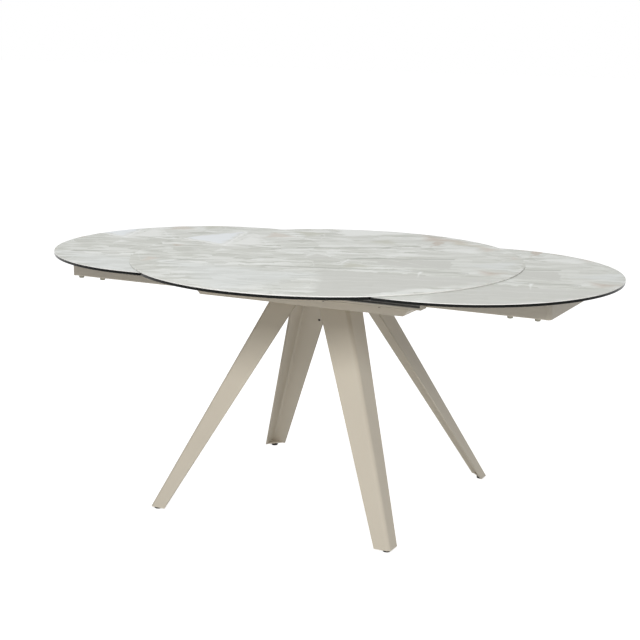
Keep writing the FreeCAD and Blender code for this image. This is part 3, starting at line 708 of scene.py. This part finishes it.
# Shards and streaks of the print, in millimetres from the middle of the top: three corners that run
# anticlockwise, the softness of the edge, the strength, the colour and the strength of a white outline.
# The broad soft pale shard at the front left is not print but a painted sheen.
SHARDS = [
    ((120, -60), (660, -60), (360, 560), 90, 0.55, STONE, 0),
    ((-260, 600), (-80, 160), (330, 470), 120, 0.5, STONE, 0),
    # Painted sheen: a broad soft pale patch where the glaze catches light, not a shard of the print.
    ((-560, -230), (0, -720), (200, -190), 120, 0.6, STONE_PALE_AND_SHEEN, 0),
    ((-420, 410), (-370, 250), (-260, 330), 30, 0.8, STONE_BEIGE, 0),
    ((-390, 450), (-240, 320), (-200, 470), 40, 0.9, STONE_OLIVE, 0),
    ((-290, 600), (-150, 390), (110, 630), 40, 1, STONE_WHITE, 0),
    ((-60, 320), (100, 330), (20, 470), 40, 0.9, STONE_OLIVE, 0),
    ((20, 640), (120, 430), (320, 500), 60, 0.8, STONE_RUST, 0),
    ((170, 570), (230, 420), (390, 440), 50, 0.8, STONE_UMBER, 0),
    ((270, 500), (370, 320), (440, 420), 40, 0.8, STONE_BEIGE, 0),
    ((160, 480), (190, 330), (212, 480), 10, 0.7, STONE_RUST, 0),
    ((440, 360), (500, 250), (540, 280), 24, 0.7, STONE_BEIGE, 0),
    ((190, 300), (430, 270), (330, 450), 50, 0.8, STONE_WHITE, 0),
    ((360, 60), (600, 40), (540, 290), 60, 0.7, STONE_PALE_AND_SHEEN, 0),
    ((110, 120), (340, 190), (150, 230), 30, 0.6, STONE_WHITE, 0),
    ((150, 70), (180, -30), (416, -10), 10, 0.95, STONE_SMOOTH, 0),
    ((150, 70), (416, -10), (350, 150), 10, 0.95, STONE_SMOOTH, 0),
    ((-80, 76), (-60, -40), (76, -10), 16, 0.8, STONE_SMOOTH, 0.2),
    ((70, -30), (110, -150), (210, -50), 24, 0.8, STONE_OLIVE, 0),
    ((40, -170), (250, -640), (640, -60), 40, 0.9, STONE_SMOOTH, 0),
    ((-440, 320), (-400, 50), (-280, 140), 30, 0.9, STONE_WHITE, 0.3),
    ((-625, 124), (-400, 56), (-480, 356), 28, 0.95, STONE_BLUE, 0.8),
    ((450, 50), (530, -80), (600, 40), 50, 0.85, STONE_RUST, 0),
    ((-566, 4), (-522, -56), (-494, 14), 20, 0.7, STONE_RUST, 0),
    ((-510, -235), (-455, -345), (-420, -250), 24, 0.8, STONE_BEIGE, 0),
    ((-390, 10), (-360, -80), (-310, -10), 20, 0.9, STONE_WHITE, 0),
    ((-610, -150), (-560, -230), (-530, -150), 20, 0.8, STONE_WHITE, 0),
]
STREAKS = [
    ((-185, 108), (110, 285), (-168, 150), 8, 0.8, VEIN, 0),
    ((60, 250), (190, 330), (70, 280), 8, 0.5, VEIN, 0),
    ((60, 18), (360, 172), (76, 60), 8, 0.8, VEIN, 0),
    ((-130, -236), (470, -28), (-110, -200), 8, 0.7, VEIN, 0),
    ((-395, -280), (-190, -150), (-380, -238), 8, 0.9, VEIN, 0),
    ((-400, -310), (-230, -256), (-396, -288), 8, 0.5, VEIN, 0),
    ((-245, 50), (-100, 134), (-236, 84), 8, 0.7, VEIN, 0),
    ((100, 262), (85, 296), (-185, 125), 8, 0.6, VEIN, 0),
    ((360, 160), (350, 188), (60, 36), 8, 0.6, VEIN, 0),
    ((480, -40), (472, -14), (-140, -226), 8, 0.5, VEIN, 0),
    ((330, -70), (378, -200), (350, -64), 10, 0.8, CRACKLE, 0),
    ((60, 14), (90, -150), (80, 18), 10, 0.8, CRACKLE, 0),
]


def printed_ceramic(name, shift):
    """Large-format ceramic, printed as pale brecciated onyx and fired to a satin glaze.

    The eye sees long chips of grey and white that lie alike, smooth grey beds, a pale blue shard with a white
    outline, rust stains by the rim and dark streaks. A broad soft pale patch at the front left is a painted
    sheen. The cut edge and the back have no print.
    """
    material, tree, place = new_surface(name)
    sheet = add(
        tree, "ShaderNodeVectorMath", "Vector", {"Vector": place, "Vector_001": (shift, 0, 0)},
        operation="SUBTRACT")
    swirl = add(
        tree, "ShaderNodeTexNoise", "Color",
        {"Vector": sheet, "Scale": 1 / WARP_SIZE, "Detail": 6, "Roughness": 0.6})
    centred = add(
        tree, "ShaderNodeVectorMath", "Vector", {"Vector": swirl, "Vector_001": (0.5, 0.5, 0.5)},
        operation="SUBTRACT")
    bent, ragged = [
        add(
            tree, "ShaderNodeVectorMath", "Vector",
            {"Vector": centred, "Vector_001": (reach, reach, reach), "Vector_002": sheet},
            operation="MULTIPLY_ADD")
        for reach in (WARP_REACH, RAGGED_REACH)]
    fields = {}
    for field, size in (
            ("drift", DRIFT_SIZE), ("cloud", CLOUD_SIZE), ("brush", BRUSH_SIZE), ("facet", FACET_SIZE),
            ("chip", CHIP_SIZE), ("crack", CRACKLE_SIZE)):
        fields[field] = add(
            tree, "ShaderNodeMapping", "Vector",
            {"Vector": bent, "Rotation": (0, 0, STREAK_ANGLE), "Scale": size}, vector_type="TEXTURE")
    tones = {}
    for field, detail in (("drift", 2), ("cloud", 6), ("brush", 5)):
        tones[field] = add(
            tree, "ShaderNodeTexNoise", "Fac",
            {"Vector": fields[field], "Scale": 1, "Detail": detail, "Roughness": 0.6})
    for field in ("facet", "chip"):
        cell = add(tree, "ShaderNodeTexVoronoi", "Color", {"Vector": fields[field], "Scale": 1})
        tones[field] = add(tree, "ShaderNodeSeparateColor", "Red", {"Color": cell})
    tones["crack"] = add(
        tree, "ShaderNodeTexVoronoi", "Distance", {"Vector": fields["crack"], "Scale": 1},
        feature="DISTANCE_TO_EDGE")

    # Each layer: the tone that it follows, where it starts and is whole, its strength and its colour
    layers = [
        (tones["drift"], 0.55, 0.38, 0.5, STONE_GREY),
        (tones["cloud"], 0.5, 0.34, 0.8, STONE_GREY),
        (tones["cloud"], 0.5, 0.66, 0.8, STONE_WHITE),
        (tones["facet"], 0.6, 1, 0.7, STONE_WHITE),
        (tones["facet"], 0.4, 0, 0.7, STONE_GREY),
        (tones["chip"], 0.6, 1, 0.75, STONE_WHITE),
        (tones["chip"], 0.4, 0, 0.75, STONE_DARK),
        (tones["brush"], 0.5, 0.7, 0.4, STONE_GREY),
        (tones["brush"], 0.5, 0.3, 0.4, STONE_WHITE),
        (tones["crack"], 0.012, 0, 0.4, CRACKLE),
    ]
    placed = [(bent, shard) for shard in SHARDS] + [(ragged, streak) for streak in STREAKS]
    for spot, (first, second, third, softness, strength, tint, outline) in placed:
        depth = None
        for start, end in ((first, second), (second, third), (third, first)):
            along = (Vector(end) - Vector(start)).normalized()
            inward = Vector((-along.y, along.x))
            reach = add(
                tree, "ShaderNodeVectorMath", "Value",
                {"Vector": spot, "Vector_001": (inward.x, inward.y, 0)}, operation="DOT_PRODUCT")
            within = add(
                tree, "ShaderNodeMath", "Value",
                {"Value": reach, "Value_001": inward.dot(Vector(start)) * MM}, operation="SUBTRACT")
            depth = within if depth is None else add(
                tree, "ShaderNodeMath", "Value", {"Value": depth, "Value_001": within}, operation="MINIMUM")
        layers.append((depth, 0, softness * MM, strength, tint))
        if outline:
            off_edge = add(tree, "ShaderNodeMath", "Value", {"Value": depth}, operation="ABSOLUTE")
            layers.append((off_edge, OUTLINE_WIDTH, 0, outline, CRACKLE))
    normal = add(tree, "ShaderNodeNewGeometry", "Normal", {})
    upward = add(tree, "ShaderNodeSeparateXYZ", "Z", {"Vector": normal})
    layers += [
        (tones["brush"], 0.5, 0.7, 0.2, STONE_GREY),
        (tones["brush"], 0.5, 0.3, 0.2, STONE_WHITE),
        (upward, 0.9, 0.6, 1, CERAMIC_BODY),
    ]
    colour = linear(STONE)
    for tone, begins, whole, strength, tint in layers:
        amount = add(
            tree, "ShaderNodeMapRange", "Result",
            {"Value": tone, "From Min": begins, "From Max": whole, "To Max": strength},
            interpolation_type="SMOOTHSTEP")
        colour = add(
            tree, "ShaderNodeMix", "Result", {"Factor": amount, "A": colour, "B": linear(tint)},
            data_type="RGBA")
    roughness = add(
        tree, "ShaderNodeMapRange", "Result", {"Value": tones["cloud"], "To Min": 0.3, "To Max": 0.45})
    shader = add(
        tree, "ShaderNodeBsdfPrincipled", "BSDF", {"Base Color": colour, "Roughness": roughness, "IOR": 1.5})
    add(tree, "ShaderNodeOutputMaterial", None, {"Surface": shader})
    return material


hub_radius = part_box("top_hub")[1].x
leaf_travel = next(joint["range_m"][1] for joint in frame["joints"] if joint["name"] == "left_leaf_slide")


def leaf_outline(node):
    """The round end and flanks of a leaf on the +X side, its inner edge and the notch for the hub."""
    low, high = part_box(node)
    outer, inner = max(-low.x, high.x), min(abs(low.x), abs(high.x))
    radius = high.y
    centre = outer - radius
    notch_radius = hub_radius + HUB_CLEARANCE
    notch_angle = math.acos((inner - leaf_travel) / notch_radius)
    outline = [Vector((inner, -radius))]
    outline += arc(Vector((centre, 0)), radius, -math.pi / 2, math.pi / 2, RIM_STEPS)
    outline.append(Vector((inner, radius)))
    outline += arc(Vector((leaf_travel, 0)), notch_radius, notch_angle, -notch_angle, NOTCH_STEPS)
    return outline


for side, direction in SIDES.items():
    leaf_print = printed_ceramic(side + "_leaf_printed_ceramic", PRINT_SHIFTS[side])
    for layer, arris, finish, slot in (
            ("leaf_glass", GLASS_ARRIS, black_glass, "dark_glass"),
            ("leaf_panel", CERAMIC_ARRIS, leaf_print, "ceramic")):
        node = "%s_%s" % (side, layer)
        low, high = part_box(node)
        outline = [direction * point for point in leaf_outline(node)]
        leaf_mesh = slab(node + "_slab", outline, low.z, high.z, arris)
        piece(node + "_slab", leaf_mesh, finish, side + "_carrier", slot, node)

# Turning top
# A 1.2 m disc of the same 2 mm ceramic, bonded to a sheet steel backing that is screwed to the hub.
# The disc is cut by water jet, its edge shows the pale body, and the backing is coated as pale as that.
TOP_STEPS = 360
BACKING_EDGE = 0.3 * MM
PALE_COAT = "#efefec"
PALE_COAT_WARM = "#ebebe7"

top_low, top_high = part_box("top_panel")
full_turn = 2 * math.pi * (TOP_STEPS - 1) / TOP_STEPS
top_outline = arc(Vector((0, 0)), top_high.x, 0, full_turn, TOP_STEPS - 1)
top_mesh = slab("turning_top", top_outline, top_low.z, top_high.z, CERAMIC_ARRIS)
top_print = printed_ceramic("top_printed_ceramic", 0)
piece("turning_top", top_mesh, top_print, "swivel_top", "ceramic", "top_panel")
pale_coat = powder_coated_steel("pale_powder_coated_steel", PALE_COAT, PALE_COAT_WARM)
backing_low, backing_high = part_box("top_backing")
backing_mesh = slab("top_backing_sheet", top_outline, backing_low.z, backing_high.z, BACKING_EDGE)
piece("top_backing_sheet", backing_mesh, pale_coat, "swivel_top", "machined_steel", "top_backing")

# Studio
# A plain white floor, a white surround and large soft lamps, which don't show in the glaze of the top.
# The camera stands where the photograph was taken, in front of the table and to its right.
FLOOR_REACH = 30
FLOOR_WHITE = "#f3f3f3"
FLOOR_PALE = "#f6f6f6"
FLOOR_GLOW = 0.78
PAPER_CLOUD = 500 * MM
SURROUND_LIGHT = 0.34
CAMERA_PLACE = (1.92674, -3.87191, 1.4886)
CAMERA_YAW = math.radians(26.72)
CAMERA_PITCH = math.radians(12.14)
CAMERA_ROLL = math.radians(0.58)
CAMERA_LENS = 80.594
CAMERA_REACH = 100
# Each lamp: its place and width in metres, and its power in watts.
LAMPS = {
    "key_lamp": ((1.75, -4.1, 3.0), 1.5, 142),
    "top_lamp": ((-0.8, 0, 4.2), 3.0, 42),
}


def seen_rays(tree):
    """One for a ray from the eye, also by way of a gloss or glass, and nought for light on other surfaces."""
    rays = add(tree, "ShaderNodeLightPath", "Is Camera Ray", {}).node
    seen = rays.outputs["Is Camera Ray"]
    for ray in ("Is Glossy Ray", "Is Transmission Ray"):
        seen = add(
            tree, "ShaderNodeMath", "Value", {"Value": seen, "Value_001": rays.outputs[ray]},
            operation="MAXIMUM")
    return seen


def floor_white():
    """Matt white paper, with a barely seen tone so that it isn't a flat colour."""
    material, tree, place = new_surface("white_paper")
    tone = add(tree, "ShaderNodeTexNoise", "Fac", {"Vector": place, "Scale": 1 / PAPER_CLOUD})
    glow = add(tree, "ShaderNodeMapRange", "Result", {"Value": seen_rays(tree), "To Max": FLOOR_GLOW})
    two_shades(
        tree, tone, (FLOOR_WHITE, FLOOR_PALE),
        {
            "Roughness": 0.9, "Specular IOR Level": 0,
            "Emission Color": (1, 1, 1, 1), "Emission Strength": glow,
        })
    return material


floor_mesh = bpy.data.meshes.new("floor")
floor_corners = [(x * FLOOR_REACH, y * FLOOR_REACH, 0) for x, y in ((-1, -1), (1, -1), (1, 1), (-1, 1))]
floor_mesh.from_pydata(floor_corners, [], [(0, 1, 2, 3)])
floor_mesh.materials.append(floor_white())
floor = bpy.data.objects.new("floor", floor_mesh)
bpy.context.scene.collection.objects.link(floor)

aim = Vector((0, 0, (cad_low.z + cad_high.z) / 2))
for name, (place, size, power) in LAMPS.items():
    lamp = bpy.data.lights.new(name, "AREA")
    lamp.shape = "SQUARE"
    lamp.size = size
    lamp.energy = power
    holder = bpy.data.objects.new(name, lamp)
    holder.location = place
    holder.visible_glossy = False
    holder.rotation_mode = "QUATERNION"
    holder.rotation_quaternion = (aim - Vector(place)).to_track_quat("-Z", "Y")
    bpy.context.scene.collection.objects.link(holder)

surround = bpy.data.worlds.new("white_surround")
surround.use_nodes = True
surround.node_tree.nodes.clear()
sky = surround.node_tree
bpy.context.scene.world = surround
strength = add(
    sky, "ShaderNodeMapRange", "Result", {"Value": seen_rays(sky), "To Min": SURROUND_LIGHT, "To Max": 1})
glow = add(sky, "ShaderNodeBackground", "Background", {"Strength": strength, "Color": (1, 1, 1, 1)})
add(sky, "ShaderNodeOutputWorld", None, {"Surface": glow})

camera = bpy.data.cameras.new("camera")
camera.lens = CAMERA_LENS
camera.clip_end = CAMERA_REACH
viewer = bpy.data.objects.new("camera", camera)
heading = Matrix.Rotation(CAMERA_YAW, 4, "Z")
tilt = Matrix.Rotation(math.pi / 2 - CAMERA_PITCH, 4, "X")
lean_over = Matrix.Rotation(CAMERA_ROLL, 4, "Z")
viewer.matrix_world = Matrix.Translation(CAMERA_PLACE) @ heading @ tilt @ lean_over
bpy.context.scene.collection.objects.link(viewer)
bpy.context.scene.camera = viewer
bpy.context.scene.view_settings.view_transform = "Standard"
